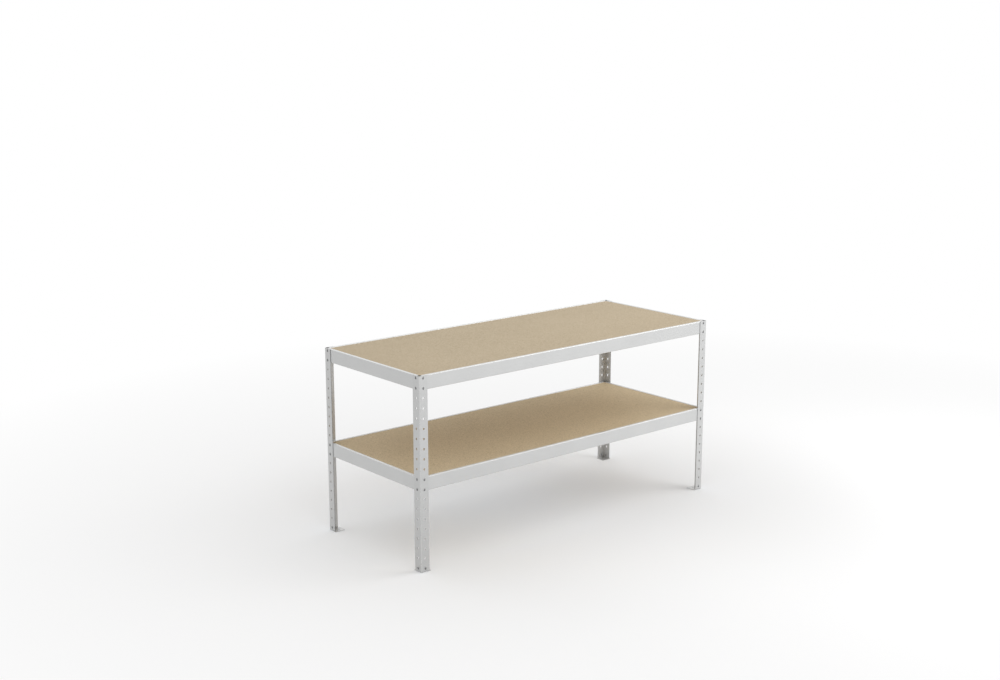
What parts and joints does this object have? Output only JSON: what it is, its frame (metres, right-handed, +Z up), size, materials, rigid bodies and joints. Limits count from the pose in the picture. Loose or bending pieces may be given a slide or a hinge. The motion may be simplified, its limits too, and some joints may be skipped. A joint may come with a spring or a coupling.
{
  "type": "packing table",
  "caption": "Rectangular packing table with perforated steel angle posts, folded edge beams and a loose chipboard board on its upper and lower levels.",
  "frame": {"origin": "on the floor, under the middle of the table", "axes": "+X along the length, +Y from the front long side to the back, +Z up"},
  "size_m": [2.0038, 0.8038, 0.98],
  "materials": {
    "post_steel": "satin light grey",
    "beam_steel": "satin light grey",
    "bar_steel": "satin light grey",
    "plate_steel": "zinc-plated",
    "rivet_steel": "zinc-plated",
    "chipboard": "raw pressed chips, matt"
  },
  "bodies": {
    "frame": {"foot_plate_back_left": "plate_steel", "foot_plate_back_left_rivet_1": "rivet_steel", "foot_plate_back_left_rivet_2": "rivet_steel", "foot_plate_back_right": "plate_steel", "foot_plate_back_right_rivet_1": "rivet_steel", "foot_plate_back_right_rivet_2": "rivet_steel", "foot_plate_front_left": "plate_steel", "foot_plate_front_left_rivet_1": "rivet_steel", "foot_plate_front_left_rivet_2": "rivet_steel", "foot_plate_front_right": "plate_steel", "foot_plate_front_right_rivet_1": "rivet_steel", "foot_plate_front_right_rivet_2": "rivet_steel", "lower_beam_back": "beam_steel", "lower_beam_back_rivet_1": "rivet_steel", "lower_beam_back_rivet_2": "rivet_steel", "lower_beam_back_rivet_3": "rivet_steel", "lower_beam_back_rivet_4": "rivet_steel", "lower_beam_front": "beam_steel", "lower_beam_front_rivet_1": "rivet_steel", "lower_beam_front_rivet_2": "rivet_steel", "lower_beam_front_rivet_3": "rivet_steel", "lower_beam_front_rivet_4": "rivet_steel", "lower_beam_left": "beam_steel", "lower_beam_left_rivet_1": "rivet_steel", "lower_beam_left_rivet_2": "rivet_steel", "lower_beam_left_rivet_3": "rivet_steel", "lower_beam_left_rivet_4": "rivet_steel", "lower_beam_right": "beam_steel", "lower_beam_right_rivet_1": "rivet_steel", "lower_beam_right_rivet_2": "rivet_steel", "lower_beam_right_rivet_3": "rivet_steel", "lower_beam_right_rivet_4": "rivet_steel", "lower_cross_bar": "bar_steel", "post_back_left": "post_steel", "post_back_right": "post_steel", "post_front_left": "post_steel", "post_front_right": "post_steel", "upper_beam_back": "beam_steel", "upper_beam_back_rivet_1": "rivet_steel", "upper_beam_back_rivet_2": "rivet_steel", "upper_beam_back_rivet_3": "rivet_steel", "upper_beam_back_rivet_4": "rivet_steel", "upper_beam_front": "beam_steel", "upper_beam_front_rivet_1": "rivet_steel", "upper_beam_front_rivet_2": "rivet_steel", "upper_beam_front_rivet_3": "rivet_steel", "upper_beam_front_rivet_4": "rivet_steel", "upper_beam_left": "beam_steel", "upper_beam_left_rivet_1": "rivet_steel", "upper_beam_left_rivet_2": "rivet_steel", "upper_beam_left_rivet_3": "rivet_steel", "upper_beam_left_rivet_4": "rivet_steel", "upper_beam_right": "beam_steel", "upper_beam_right_rivet_1": "rivet_steel", "upper_beam_right_rivet_2": "rivet_steel", "upper_beam_right_rivet_3": "rivet_steel", "upper_beam_right_rivet_4": "rivet_steel", "upper_cross_bar": "bar_steel"},
    "upper_board": {"upper_board": "chipboard"},
    "lower_board": {"lower_board": "chipboard"}
  },
  "joints": [
    {"name": "upper_board_lift", "type": "slide", "parent": "frame", "child": "upper_board", "axis": [0, 0, 1], "range_m": [0, 0.15]},
    {"name": "lower_board_lift", "type": "slide", "parent": "frame", "child": "lower_board", "axis": [0, 0, 1], "range_m": [0, 0.15]}
  ]
}
